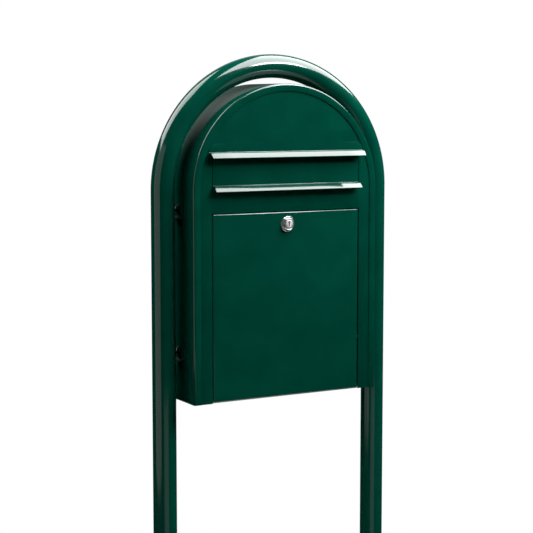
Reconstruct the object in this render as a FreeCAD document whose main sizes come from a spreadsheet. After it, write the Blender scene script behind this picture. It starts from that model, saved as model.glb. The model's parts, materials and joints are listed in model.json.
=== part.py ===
"""Arched letterbox hung inside a bent-tube garden stand.

Frame: millimetres, +Z up, the front of the box looks along -Y, +X is to the right seen from the front.
The origin is on the ground, midway between the two feet, under the axis of the tube.
"""
import FreeCAD, Part
import math
import os
import Sketcher

DOC = FreeCAD.newDocument("letterbox")

# Driving dimensions. Heights above the box's underside end in "_height"; depths behind its front face end in
# "_depth".
DIMENSIONS = {
    "box_width": 310.0,
    "box_base": 690.0,
    "box_depth": 100.0,
    "box_front": -47.0,
    "straight_height": 309.0,
    "sheet": 1.2,
    "edge_radius": 3.0,
    "rim_width": 11.3,
    "tube_radius": 17.5,
    "tube_wall": 2.0,
    "tube_offset": 181.0,
    "foot_side": 120.0,
    "foot_plate": 5.0,
    "foot_corner": 8.0,
    "anchor_spacing": 90.0,
    "anchor_radius": 5.5,
    "weld_leg": 4.5,
    "bracket_leaf": 2.5,
    "bracket_depth": 24.0,
    "bracket_rise": 7.0,
    "bracket_drop": 14.0,
    "bracket_slope": 3.0,
    "upper_bolt_height": 284.0,
    "lower_bolt_height": 76.0,
    "bolt_radius": 3.0,
    "bolt_clearance": 0.2,
    "washer_radius": 6.0,
    "weld_nut_radius": 5.0,
    "weld_nut_length": 4.0,
    "screw_head_radius": 5.5,
    "screw_head_height": 3.5,
    "screw_end": 0.5,
    "floor_flange": 12.0,
    "floor_flange_back": 8.0,
    "floor_notch_margin": 13.0,
    "drain_radius": 3.0,
    "drain_offset": 90.0,
    "drain_front_inset": 30.0,
    "drain_back_inset": 25.0,
    "panel_clearance": 0.2,
    "hem_clearance": 0.6,
    "lip_clearance": 0.8,
    "door_half": 124.0,
    "door_top_height": 276.2,
    "door_return": 10.0,
    "opening_gap": 1.0,
    "door_rod_radius": 2.5,
    "flap_half": 123.5,
    "flap_rod_radius": 2.0,
    "flap_pivot_height": 359.1,
    "flap_lip_height": 316.8,
    "running_gap": 0.05,
    "hood_half": 130.5,
    "hood_fold_height": 365.0,
    "hood_top_height": 377.4,
    "hood_corner": 12.0,
    "lip_reach": 12.5,
    "lip_fall": 7.6,
    "lip_edge": 1.4,
    "lock_height": 258.0,
    "lock_body_radius": 8.0,
    "lock_head_radius": 9.0,
    "lock_ring_radius": 11.5,
    "lock_plug_radius": 6.2,
    "lock_ring_thickness": 1.5,
    "lock_head_proud": 6.0,
    "lock_head_bevel": 0.8,
    "lock_plug_proud": 6.4,
    "lock_body_depth": 13.5,
    "lock_nut_thickness": 4.5,
    "lock_nut_reach": 10.88,
    "keyway_width": 2.0,
    "keyway_length": 8.2,
    "keyway_depth": 8.0,
    "tail_side": 7.0,
    "tail_length": 2.9,
    "cam_width": 14.0,
    "cam_reach": 22.0,
    "cam_front_depth": 14.2,
    "cam_thickness": 2.0,
    "cam_corner": 3.0,
    "cam_screw_radius": 5.0,
    "cam_screw_depth": 16.4,
    "cam_screw_height": 2.6,
    "strike_depth": 13.5,
    "strike_half": 110.0,
    "strike_web_rise": 4.8,
    "strike_drop": 8.2,
    "strike_weld_leaf": 12.0,
    "buffer_radius": 4.0,
    "buffer_thickness": 1.9,
    "buffer_offset": 98.0,
    "buffer_drop": 4.0,
    "hinge_metal": 2.0,
    "hinge_tab_gap": 2.0,
    "hinge_tab_behind": 4.2,
    "hinge_tab_beyond": 3.75,
    "hinge_bracket_length": 24.0,
    "hinge_leaf_width": 13.0,
    "hinge_relief": 9.0,
    "back_strip_width": 6.8,
    "wall_spacing_across": 200.0,
    "wall_spacing_up": 240.0,
    "wall_hole_radius": 3.5,
    "wall_pattern_height": 190.0,
}


def fill_sheet():
    """Write the driving dimensions into the spreadsheet, one aliased cell each."""
    sheet = DOC.addObject("Spreadsheet::Sheet", "Sizes")
    for row, (alias, number) in enumerate(DIMENSIONS.items(), start=1):
        sheet.set(f"A{row}", alias)
        sheet.set(f"B{row}", str(number))
        sheet.setAlias(f"B{row}", alias)
    DOC.recompute()
    return sheet


SHEET = fill_sheet()


class Measure:
    """A length that carries both its number and the sheet expression that drives it."""

    def __init__(self, number, text):
        self.number = float(number)
        self.text = text

    def combine(self, other, sign, number):
        return Measure(number, f"({self.text} {sign} {as_measure(other).text})")

    def __add__(self, other):
        return self.combine(other, "+", self.number + as_measure(other).number)

    def __sub__(self, other):
        return self.combine(other, "-", self.number - as_measure(other).number)

    def __mul__(self, other):
        return self.combine(other, "*", self.number * as_measure(other).number)

    def __truediv__(self, other):
        return self.combine(other, "/", self.number / as_measure(other).number)

    def __neg__(self):
        return Measure(-self.number, f"(0 - {self.text})")


def as_measure(value):
    """A plain number becomes a Measure whose text is the number itself."""
    if isinstance(value, Measure):
        return value
    return Measure(value, repr(float(value)))


def size(alias):
    """The Measure of one sheet cell."""
    return Measure(SHEET.get(alias), f"Sizes.{alias}")


def bind(thing, attribute, value):
    """Set a property and tie it to the sheet."""
    thing.setExpression(attribute, as_measure(value).text)


# Planes and heights that many pieces share.
SHEET_METAL = size("sheet")
FRONT = size("box_front")
BACK = FRONT + size("box_depth")
BASE = size("box_base")
HALF = size("box_width") / 2
INNER_HALF = HALF - SHEET_METAL
ARCH_CENTRE = BASE + size("straight_height")
PANEL_FRONT = FRONT + SHEET_METAL
PANEL_BACK = PANEL_FRONT + SHEET_METAL
DOOR_HEM = size("door_rod_radius") + size("running_gap") + SHEET_METAL
DOOR_PIVOT_Y = PANEL_FRONT + DOOR_HEM
DOOR_PIVOT_Z = BASE + DOOR_HEM
FLAP_HEM = size("flap_rod_radius") + size("running_gap") + SHEET_METAL
FLAP_PIVOT_Y = PANEL_FRONT + FLAP_HEM
FLAP_PIVOT_Z = BASE + size("flap_pivot_height")
LOCK_Z = BASE + size("lock_height")
SIDES = {"left": -1, "right": 1}

# How far a cutting sketch runs past the edge that it opens, and the depth of a cut that goes right through.
OVERSHOOT = 5.0
THROUGH = SHEET_METAL * 4


def new_body(name):
    """An empty PartDesign body named after its node."""
    body = DOC.addObject("PartDesign::Body", name)
    body.Label = name
    return body


def new_sketch(body, name, role, offset=0.0):
    """A sketch on one of the body's own origin planes, moved along that plane's normal."""
    sketch = body.newObject("Sketcher::SketchObject", f"{body.Name}_{name}")
    plane = [item for item in body.Origin.OriginFeatures if item.Role == role][0]
    sketch.AttachmentSupport = [(plane, "")]
    sketch.MapMode = "FlatFace"
    bind(sketch, "AttachmentOffset.Base.z", offset)
    return sketch


def tie_point(sketch, geometry, corner, point):
    """Fix one end or centre point of a sketch curve at two sheet-driven coordinates."""
    for kind, value in zip(("DistanceX", "DistanceY"), point):
        value = as_measure(value)
        number = sketch.addConstraint(Sketcher.Constraint(kind, geometry, corner, value.number))
        sketch.setExpression(f"Constraints[{number}]", value.text)


def draw_polygon(sketch, points):
    """A closed outline of straight lines through the given points."""
    vectors = [FreeCAD.Vector(as_measure(x).number, as_measure(y).number, 0) for x, y in points]
    first = sketch.GeometryCount
    count = len(vectors)
    for index in range(count):
        sketch.addGeometry(Part.LineSegment(vectors[index], vectors[(index + 1) % count]), False)
    for index in range(count):
        following = first + (index + 1) % count
        sketch.addConstraint(Sketcher.Constraint("Coincident", first + index, 2, following, 1))
    for index, point in enumerate(points):
        tie_point(sketch, first + index, 1, point)


def draw_rectangle(sketch, left, right, low, high):
    """An upright rectangle between four sheet-driven coordinates."""
    draw_polygon(sketch, [(left, low), (right, low), (right, high), (left, high)])


def draw_circle(sketch, centre, radius):
    """A circle with a sheet-driven centre and radius."""
    place = FreeCAD.Vector(as_measure(centre[0]).number, as_measure(centre[1]).number, 0)
    radius = as_measure(radius)
    circle = sketch.addGeometry(Part.Circle(place, FreeCAD.Vector(0, 0, 1), radius.number), False)
    tie_point(sketch, circle, 3, centre)
    number = sketch.addConstraint(Sketcher.Constraint("Radius", circle, radius.number))
    sketch.setExpression(f"Constraints[{number}]", radius.text)


def draw_half_round(sketch, radius):
    """The half circle over the box's arch centre, with both ends level with that centre."""
    centre = FreeCAD.Vector(0, ARCH_CENTRE.number, 0)
    full_round = Part.Circle(centre, FreeCAD.Vector(0, 0, 1), radius.number)
    arc = sketch.addGeometry(Part.ArcOfCircle(full_round, 0.0, math.pi), False)
    tie_point(sketch, arc, 3, (0.0, ARCH_CENTRE))
    sketch.addConstraint(Sketcher.Constraint("Horizontal", arc, 1, arc, 3))
    sketch.addConstraint(Sketcher.Constraint("Horizontal", arc, 2, arc, 3))
    return arc


def draw_legs(sketch, arc, radius, low):
    """Upright lines from the two ends of a half circle down to low; the right one fixes the radius."""
    legs = []
    for sign, arc_end in ((1, 1), (-1, 2)):
        top = FreeCAD.Vector(sign * radius.number, ARCH_CENTRE.number, 0)
        foot = FreeCAD.Vector(sign * radius.number, low.number, 0)
        leg = sketch.addGeometry(Part.LineSegment(top, foot), False)
        sketch.addConstraint(Sketcher.Constraint("Coincident", leg, 1, arc, arc_end))
        sketch.addConstraint(Sketcher.Constraint("Vertical", leg))
        legs.append(leg)
    tie_point(sketch, legs[0], 2, (radius, low))
    return legs


def draw_arch(sketch, half, low):
    """A closed outline: half circle, two upright sides and a flat foot at low."""
    arc = draw_half_round(sketch, half)
    right, left = draw_legs(sketch, arc, half, low)
    foot_right = FreeCAD.Vector(half.number, low.number, 0)
    foot_left = FreeCAD.Vector(-half.number, low.number, 0)
    foot = sketch.addGeometry(Part.LineSegment(foot_right, foot_left), False)
    sketch.addConstraint(Sketcher.Constraint("Coincident", right, 2, foot, 1))
    sketch.addConstraint(Sketcher.Constraint("Coincident", foot, 2, left, 2))
    sketch.addConstraint(Sketcher.Constraint("Horizontal", foot))


def add_pad(body, sketch, length, reverse=False, middle=False):
    """Pad a sketch along its normal, against it, or both ways from it."""
    pad = body.newObject("PartDesign::Pad", f"{sketch.Name}_pad")
    pad.Profile = sketch
    bind(pad, "Length", length)
    pad.Reversed = reverse
    pad.Midplane = middle
    DOC.recompute()
    return pad


def add_pocket(body, sketch, length, reverse=False, middle=False):
    """Cut a sketch into the body and check that material was really removed."""
    before = body.Shape.Volume
    pocket = body.newObject("PartDesign::Pocket", f"{sketch.Name}_pocket")
    pocket.Profile = sketch
    bind(pocket, "Length", length)
    pocket.Reversed = reverse
    pocket.Midplane = middle
    DOC.recompute()
    if body.Shape.Volume >= before:
        raise RuntimeError(f"{pocket.Name} cut nothing")
    return pocket


def add_fillet(body, edges, radius):
    """Round the named edges of the body's last feature."""
    rounded = body.Tip
    fillet = body.newObject("PartDesign::Fillet", f"{rounded.Name}_fillet")
    fillet.Base = (rounded, edges)
    bind(fillet, "Radius", radius)
    DOC.recompute()
    return fillet


def edges_where(shape, test):
    """Names of the edges whose bounding box passes the test."""
    return [f"Edge{index}" for index, edge in enumerate(shape.Edges, start=1) if test(edge.BoundBox)]


def flat_at(box, depth):
    """True for an edge that lies in the plane y = depth."""
    return abs(box.YMin - depth.number) < 0.01 and abs(box.YMax - depth.number) < 0.01


# Stand: one bent tube with a welded plate under each foot.

def make_stand_tube():
    """Two legs and the half-round arch over them, bent from one round tube."""
    body = new_body("stand_tube")
    offset = size("tube_offset")
    radius = size("tube_radius")
    route = new_sketch(body, "route", "XZ_Plane")
    arc = draw_half_round(route, offset)
    legs = draw_legs(route, arc, offset, size("foot_plate"))
    route.addConstraint(Sketcher.Constraint("Horizontal", legs[0], 2, legs[1], 2))
    section = new_sketch(body, "section", "XY_Plane", size("foot_plate"))
    draw_circle(section, (-offset, 0.0), radius)
    draw_circle(section, (-offset, 0.0), radius - size("tube_wall"))
    pipe = body.newObject("PartDesign::AdditivePipe", "stand_tube_pipe")
    pipe.Profile = section
    pipe.Spine = route
    DOC.recompute()
    return body


def make_foot_plate(side):
    """Square plate that the leg stands on, with four anchor holes and rounded corners."""
    body = new_body(f"foot_plate_{side}")
    centre = size("tube_offset") * SIDES[side]
    half = size("foot_side") / 2
    outline = new_sketch(body, "outline", "XY_Plane")
    draw_rectangle(outline, centre - half, centre + half, -half, half)
    add_pad(body, outline, size("foot_plate"))
    upright = edges_where(body.Shape, lambda box: box.ZLength > 1 and box.XLength < 0.01)
    add_fillet(body, upright, size("foot_corner"))
    holes = new_sketch(body, "holes", "XY_Plane")
    reach = size("anchor_spacing") / 2
    for across in (-reach, reach):
        for along in (-reach, reach):
            draw_circle(holes, (centre + across, along), size("anchor_radius"))
    add_pocket(body, holes, size("foot_plate"), reverse=True)
    return body


def add_solid(kind, name, sizes, place=(0.0, 0.0, 0.0), axis=(0, 0, 1), angle=0.0):
    """A Part primitive with sheet-driven sizes and position."""
    solid = DOC.addObject(kind, name)
    solid.Placement.Rotation = FreeCAD.Rotation(FreeCAD.Vector(*axis), angle)
    for attribute, value in sizes.items():
        bind(solid, attribute, value)
    for letter, value in zip("xyz", place):
        bind(solid, f"Placement.Base.{letter}", value)
    return solid


def add_cylinder(name, radius, length, place, along="Z"):
    """A cylinder that starts at place and runs along +X, +Y or +Z."""
    turns = {"X": ((0, 1, 0), 90.0), "Y": ((1, 0, 0), -90.0), "Z": ((0, 0, 1), 0.0)}
    axis, angle = turns[along]
    return add_solid("Part::Cylinder", name, {"Radius": radius, "Height": length}, place, axis, angle)


def add_cut(name, base, tool):
    """Base minus tool."""
    cut = DOC.addObject("Part::Cut", name)
    cut.Base = base
    cut.Tool = tool
    return cut


def add_fuse(name, pieces):
    """All the pieces as one object; pieces that don't meet stay separate solids in it."""
    fuse = DOC.addObject("Part::MultiFuse", name)
    fuse.Shapes = pieces
    fuse.Label = name
    return fuse


def make_foot_welds():
    """Fillet weld bead round each leg where it meets its foot plate."""
    beads = []
    radius = size("tube_radius")
    leg = size("weld_leg")
    for side, sign in SIDES.items():
        place = (size("tube_offset") * sign, 0.0, size("foot_plate"))
        cone_sizes = {"Radius1": radius + leg, "Radius2": radius, "Height": leg}
        cone = add_solid("Part::Cone", f"weld_cone_{side}", cone_sizes, place)
        core = add_cylinder(f"weld_core_{side}", radius, leg, place)
        beads.append(add_cut(f"weld_bead_{side}", cone, core))
    return add_fuse("foot_welds", beads)


# Brackets between the tube and the box, and the screws through them.

def bolt_places():
    """Name, side sign and height of the four bracket screws."""
    for level in ("upper", "lower"):
        for side, sign in SIDES.items():
            yield f"{level}_{side}", sign, BASE + size(f"{level}_bolt_height")


def make_bracket(name, sign, bolt_z):
    """Strap with an upright leaf on the box wall and a foot that slopes down to the tube."""
    body = new_body(f"bracket_{name}")
    leaf = size("bracket_leaf")
    low = bolt_z - size("bracket_drop")
    high = bolt_z + size("bracket_rise")
    foot = low - size("bracket_slope")
    outer = HALF + leaf
    tube_side = size("tube_offset") - size("tube_radius") / 2
    points = [
        (HALF, high),
        (HALF, low),
        (tube_side, foot),
        (tube_side, foot + leaf),
        (outer, low + leaf),
        (outer, high),
    ]
    outline = new_sketch(body, "outline", "XZ_Plane")
    draw_polygon(outline, [(x * sign, z) for x, z in points])
    add_pad(body, outline, size("bracket_depth"), middle=True)
    saddle = new_sketch(body, "saddle", "XY_Plane", low)
    draw_circle(saddle, (size("tube_offset") * sign, 0.0), size("tube_radius"))
    add_pocket(body, saddle, size("bracket_drop") * 2, middle=True)
    hole = new_sketch(body, "hole", "YZ_Plane", HALF * sign)
    draw_circle(hole, (0.0, bolt_z), size("bolt_radius") + size("bolt_clearance"))
    add_pocket(body, hole, leaf, reverse=sign > 0)
    return body


def start_along_x(sign, near, length):
    """X where a piece starts that covers near to near + length on one side of the box."""
    if sign > 0:
        return near
    return -(near + length)


def make_bracket_nuts():
    """Round weld nut on the tube side of each bracket leaf."""
    nuts = []
    near = HALF + size("bracket_leaf")
    length = size("weld_nut_length")
    for name, sign, bolt_z in bolt_places():
        place = (start_along_x(sign, near, length), 0.0, bolt_z)
        body = add_cylinder(f"nut_body_{name}", size("weld_nut_radius"), length, place, "X")
        thread = add_cylinder(f"nut_thread_{name}", size("bolt_radius"), length, place, "X")
        nuts.append(add_cut(f"nut_{name}", body, thread))
    return add_fuse("bracket_nuts", nuts)


def make_box_screws():
    """M6 pan-head screws from inside the box through wall and bracket into the weld nuts."""
    screws = []
    washer = SHEET_METAL
    head = size("screw_head_height")
    head_near = INNER_HALF - washer - head
    shank_near = INNER_HALF - washer
    shank = washer + SHEET_METAL + size("bracket_leaf") + size("weld_nut_length") + size("screw_end")
    for name, sign, bolt_z in bolt_places():
        head_place = (start_along_x(sign, head_near, head), 0.0, bolt_z)
        shank_place = (start_along_x(sign, shank_near, shank), 0.0, bolt_z)
        screws.append(add_cylinder(f"screw_head_{name}", size("screw_head_radius"), head, head_place, "X"))
        screws.append(add_cylinder(f"screw_shank_{name}", size("bolt_radius"), shank, shank_place, "X"))
    return add_fuse("box_screws", screws)


def make_box_washers():
    """Flat washer under each screw head."""
    washers = []
    near = INNER_HALF - SHEET_METAL
    hole = size("bolt_radius") + size("bolt_clearance")
    for name, sign, bolt_z in bolt_places():
        place = (start_along_x(sign, near, SHEET_METAL), 0.0, bolt_z)
        disc = add_cylinder(f"washer_disc_{name}", size("washer_radius"), SHEET_METAL, place, "X")
        bore = add_cylinder(f"washer_bore_{name}", hole, SHEET_METAL, place, "X")
        washers.append(add_cut(f"washer_{name}", disc, bore))
    return add_fuse("box_washers", washers)


# The box.

def make_body_shell():
    """Sheet wrapped over the arch, with a rim turned in round its front edge; open below and behind."""
    body = new_body("body_shell")
    outside = new_sketch(body, "outside", "XZ_Plane", -FRONT)
    draw_arch(outside, HALF, BASE)
    add_pad(body, outside, size("box_depth"), reverse=True)
    front_edges = edges_where(body.Shape, lambda box: flat_at(box, FRONT) and box.ZLength > 1)
    add_fillet(body, front_edges, size("edge_radius"))
    inside = new_sketch(body, "inside", "XZ_Plane", -BACK)
    draw_arch(inside, INNER_HALF, BASE - OVERSHOOT)
    add_pocket(body, inside, size("box_depth") - SHEET_METAL, reverse=True)
    bend_edges = edges_where(body.Shape, lambda box: flat_at(box, PANEL_FRONT) and box.ZLength > 1)
    add_fillet(body, bend_edges, size("edge_radius") - SHEET_METAL)
    mouth = new_sketch(body, "mouth", "XZ_Plane", -PANEL_FRONT)
    draw_arch(mouth, HALF - size("rim_width"), BASE - OVERSHOOT)
    add_pocket(body, mouth, THROUGH, middle=True)
    holes = new_sketch(body, "holes", "YZ_Plane")
    hole = size("bolt_radius") + size("bolt_clearance")
    for level in ("upper", "lower"):
        draw_circle(holes, (0.0, BASE + size(f"{level}_bolt_height")), hole)
    add_pocket(body, holes, size("box_width") * 2, middle=True)
    return body


def make_back_plate():
    """Flat arched plate that closes the rear, with four wall-mounting holes."""
    body = new_body("back_plate")
    outline = new_sketch(body, "outline", "XZ_Plane", -BACK)
    draw_arch(outline, INNER_HALF, BASE + SHEET_METAL)
    add_pad(body, outline, SHEET_METAL)
    holes = new_sketch(body, "holes", "XZ_Plane", -BACK)
    across = size("wall_spacing_across") / 2
    up = size("wall_spacing_up") / 2
    middle = BASE + size("wall_pattern_height")
    for x in (-across, across):
        for z in (middle - up, middle + up):
            draw_circle(holes, (x, z), size("wall_hole_radius"))
    add_pocket(body, holes, THROUGH, middle=True)
    return body


def make_back_strip():
    """Arched edge strip in the rear corner, spot-welded to the shell around it and to the plate behind it."""
    body = new_body("back_strip")
    low = BASE + SHEET_METAL
    outline = new_sketch(body, "outline", "XZ_Plane", SHEET_METAL - BACK)
    draw_arch(outline, INNER_HALF, low)
    add_pad(body, outline, size("back_strip_width"))
    hollow = new_sketch(body, "hollow", "XZ_Plane", SHEET_METAL - BACK)
    draw_arch(hollow, INNER_HALF - SHEET_METAL, low - OVERSHOOT)
    add_pocket(body, hollow, size("back_strip_width") * 3, middle=True)
    return body


def make_bottom_plate():
    """Floor of the box: notched in front for the door's hem, side edges turned up, four drain holes."""
    body = new_body("bottom_plate")
    notch_half = HALF - size("floor_notch_margin")
    notch_back = DOOR_PIVOT_Y + DOOR_HEM + size("hem_clearance")
    corners = [
        (-INNER_HALF, PANEL_BACK),
        (-notch_half, PANEL_BACK),
        (-notch_half, notch_back),
        (notch_half, notch_back),
        (notch_half, PANEL_BACK),
        (INNER_HALF, PANEL_BACK),
        (INNER_HALF, BACK),
        (-INNER_HALF, BACK),
    ]
    outline = new_sketch(body, "outline", "XY_Plane", BASE)
    draw_polygon(outline, corners)
    add_pad(body, outline, SHEET_METAL)
    turned_up = new_sketch(body, "turned_up", "XY_Plane", BASE)
    for sign in SIDES.values():
        near, far = sorted((INNER_HALF * sign, (INNER_HALF - SHEET_METAL) * sign), key=lambda x: x.number)
        draw_rectangle(turned_up, near, far, PANEL_BACK, BACK - size("floor_flange_back"))
    add_pad(body, turned_up, size("floor_flange"))
    drains = new_sketch(body, "drains", "XY_Plane", BASE)
    for sign in SIDES.values():
        for y in (FRONT + size("drain_front_inset"), BACK - size("drain_back_inset")):
            draw_circle(drains, (size("drain_offset") * sign, y), size("drain_radius"))
    add_pocket(body, drains, THROUGH, middle=True)
    return body


def make_front_panel():
    """Arched face behind the shell's rim, with the letter slot and the door opening cut through it."""
    body = new_body("front_panel")
    outline = new_sketch(body, "outline", "XZ_Plane", -PANEL_BACK)
    draw_arch(outline, HALF - size("edge_radius") - size("panel_clearance"), BASE)
    add_pad(body, outline, SHEET_METAL)
    openings = new_sketch(body, "openings", "XZ_Plane", -PANEL_BACK)
    gap = size("opening_gap")
    door_half = size("door_half") + gap
    flap_half = size("flap_half") + gap
    draw_rectangle(openings, -door_half, door_half, BASE - OVERSHOOT, BASE + size("door_top_height") + gap)
    slot_low = BASE + size("flap_lip_height") - size("lip_edge") - size("lip_clearance")
    slot_high = FLAP_PIVOT_Z + FLAP_HEM + size("hem_clearance")
    draw_rectangle(openings, -flap_half, flap_half, slot_low, slot_high)
    add_pocket(body, openings, THROUGH, middle=True)
    return body


def lip_profile(plate_front, plate_back, fold_z, top_z):
    """Corners, in depth and height, of an upright sheet whose lower edge slants forward as a drip lip."""
    tip = plate_front - size("lip_reach")
    slope = size("lip_fall") / size("lip_reach")
    return [
        (plate_back, top_z),
        (plate_front, top_z),
        (plate_front, fold_z),
        (tip, fold_z - size("lip_fall")),
        (tip, fold_z - size("lip_fall") - size("lip_edge")),
        (plate_back, fold_z - size("lip_edge") + slope * (plate_back - plate_front)),
    ]


def make_rain_hood():
    """Fixed drip hood over the letter slot, spot-welded to the face."""
    body = new_body("rain_hood")
    profile = new_sketch(body, "profile", "YZ_Plane")
    fold = BASE + size("hood_fold_height")
    top = BASE + size("hood_top_height")
    draw_polygon(profile, lip_profile(FRONT, PANEL_FRONT, fold, top))
    add_pad(body, profile, size("hood_half") * 2, middle=True)
    ends = edges_where(
        body.Shape,
        lambda box: box.ZMin > top.number - 0.01 and box.XLength < 0.01,
    )
    add_fillet(body, ends, size("hood_corner"))
    return body


def make_letter_flap():
    """Letter-slot flap: top edge rolled round its rod, lower edge slanted forward as a finger lip."""
    body = new_body("letter_flap")
    width = size("flap_half") * 2
    hem = new_sketch(body, "hem", "YZ_Plane")
    draw_circle(hem, (FLAP_PIVOT_Y, FLAP_PIVOT_Z), FLAP_HEM)
    add_pad(body, hem, width, middle=True)
    profile = new_sketch(body, "profile", "YZ_Plane")
    fold = BASE + size("flap_lip_height")
    draw_polygon(profile, lip_profile(PANEL_FRONT, PANEL_BACK, fold, FLAP_PIVOT_Z))
    add_pad(body, profile, width, middle=True)
    bore = new_sketch(body, "bore", "YZ_Plane")
    draw_circle(bore, (FLAP_PIVOT_Y, FLAP_PIVOT_Z), FLAP_HEM - SHEET_METAL)
    add_pocket(body, bore, width + OVERSHOOT * 2, middle=True)
    return body


def make_door():
    """Door pan: bottom edge rolled round its rod, sides and top turned back, one hole for the lock."""
    body = new_body("door")
    half = size("door_half")
    top = BASE + size("door_top_height")
    hem = new_sketch(body, "hem", "YZ_Plane")
    draw_circle(hem, (DOOR_PIVOT_Y, DOOR_PIVOT_Z), DOOR_HEM)
    add_pad(body, hem, half * 2, middle=True)
    skin = new_sketch(body, "skin", "XZ_Plane", -PANEL_BACK)
    draw_rectangle(skin, -half, half, DOOR_PIVOT_Z, top)
    add_pad(body, skin, SHEET_METAL)
    returns = new_sketch(body, "returns", "XZ_Plane", -PANEL_FRONT)
    side_foot = DOOR_PIVOT_Z + DOOR_HEM
    inner = half - SHEET_METAL
    corners = [
        (-half, side_foot),
        (-half, top),
        (half, top),
        (half, side_foot),
        (inner, side_foot),
        (inner, top - SHEET_METAL),
        (-inner, top - SHEET_METAL),
        (-inner, side_foot),
    ]
    draw_polygon(returns, corners)
    add_pad(body, returns, size("door_return"), reverse=True)
    bore = new_sketch(body, "bore", "YZ_Plane")
    draw_circle(bore, (DOOR_PIVOT_Y, DOOR_PIVOT_Z), DOOR_HEM - SHEET_METAL)
    add_pocket(body, bore, (half + OVERSHOOT) * 2, middle=True)
    hole = new_sketch(body, "lock_hole", "XZ_Plane", -PANEL_FRONT)
    draw_circle(hole, (0.0, LOCK_Z), size("lock_body_radius"))
    add_pocket(body, hole, THROUGH, middle=True)
    return body


# Hinge rods and the angle brackets that hold their ends.

def make_rod(name, radius, tab_near, pivot_y, pivot_z):
    """Plain rod that ends flush with the outer faces of its two bracket tabs."""
    length = (tab_near + size("hinge_metal")) * 2
    rod = add_cylinder(name, radius, length, (-(length / 2), pivot_y, pivot_z), "X")
    rod.Label = name
    return rod


def make_hinge_bracket(name, side, tab_near, radius, pivot, leaf_way):
    """Angle with a bored tab square to the face and a leaf welded to the back of the front panel."""
    body = new_body(f"{name}_{side}")
    sign = SIDES[side]
    pivot_y, pivot_z = pivot
    thickness = size("hinge_metal")
    reach_y = pivot_y + size("hinge_tab_behind")
    leaf_end = tab_near + size("hinge_leaf_width")
    corners = [
        (tab_near, PANEL_BACK),
        (leaf_end, PANEL_BACK),
        (leaf_end, PANEL_BACK + thickness),
        (tab_near + thickness, PANEL_BACK + thickness),
        (tab_near + thickness, reach_y),
        (tab_near, reach_y),
    ]
    start = pivot_z - size("hinge_tab_beyond") * leaf_way
    plan = new_sketch(body, "plan", "XY_Plane", start)
    draw_polygon(plan, [(x * sign, y) for x, y in corners])
    add_pad(body, plan, size("hinge_bracket_length"), reverse=leaf_way < 0)
    relief = new_sketch(body, "relief", "XY_Plane", start)
    relief_near = tab_near + thickness
    near, far = sorted((relief_near * sign, (leaf_end + OVERSHOOT) * sign), key=lambda x: x.number)
    draw_rectangle(relief, near, far, PANEL_BACK - OVERSHOOT, reach_y + OVERSHOOT)
    add_pocket(body, relief, size("hinge_relief"), reverse=leaf_way > 0)
    bore = new_sketch(body, "bore", "YZ_Plane", tab_near * sign)
    draw_circle(bore, (pivot_y, pivot_z), radius)
    add_pocket(body, bore, thickness * 3, middle=True)
    return body


def make_strike_plate():
    """Stepped strip behind the face: it stops the door and holds the lock's cam."""
    body = new_body("strike_plate")
    depth = FRONT + size("strike_depth")
    door_top = BASE + size("door_top_height")
    web = door_top + size("strike_web_rise")
    low = door_top - size("strike_drop")
    high = web + size("strike_weld_leaf")
    corners = [
        (PANEL_BACK, web),
        (depth, web),
        (depth, low),
        (depth + SHEET_METAL, low),
        (depth + SHEET_METAL, web + SHEET_METAL),
        (PANEL_BACK + SHEET_METAL, web + SHEET_METAL),
        (PANEL_BACK + SHEET_METAL, high),
        (PANEL_BACK, high),
    ]
    profile = new_sketch(body, "profile", "YZ_Plane")
    draw_polygon(profile, corners)
    add_pad(body, profile, size("strike_half") * 2, middle=True)
    return body


def make_door_buffers():
    """Two rubber discs on the strike plate that the door's top return closes against."""
    length = size("buffer_thickness")
    place_z = BASE + size("door_top_height") - size("buffer_drop")
    start = FRONT + size("strike_depth") - length
    discs = []
    for side, sign in SIDES.items():
        place = (size("buffer_offset") * sign, start, place_z)
        discs.append(add_cylinder(f"buffer_{side}", size("buffer_radius"), length, place, "Y"))
    return add_fuse("door_buffers", discs)


# Cam lock, centred on the door. Depths here are measured back from the door's front face.

def lock_disc(name, radius, start, length):
    """Round piece on the lock's axis that covers start to start + length behind the door's face."""
    return add_cylinder(name, radius, length, (0.0, PANEL_FRONT + start, LOCK_Z), "Y")


def make_lock_ring():
    """Thin trim ring between the lock's head and the door."""
    thickness = size("lock_ring_thickness")
    disc = lock_disc("ring_disc", size("lock_ring_radius"), -thickness, thickness)
    bore = lock_disc("ring_bore", size("lock_body_radius"), -thickness, thickness)
    ring = add_cut("lock_ring", disc, bore)
    ring.Label = "lock_ring"
    return ring


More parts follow.
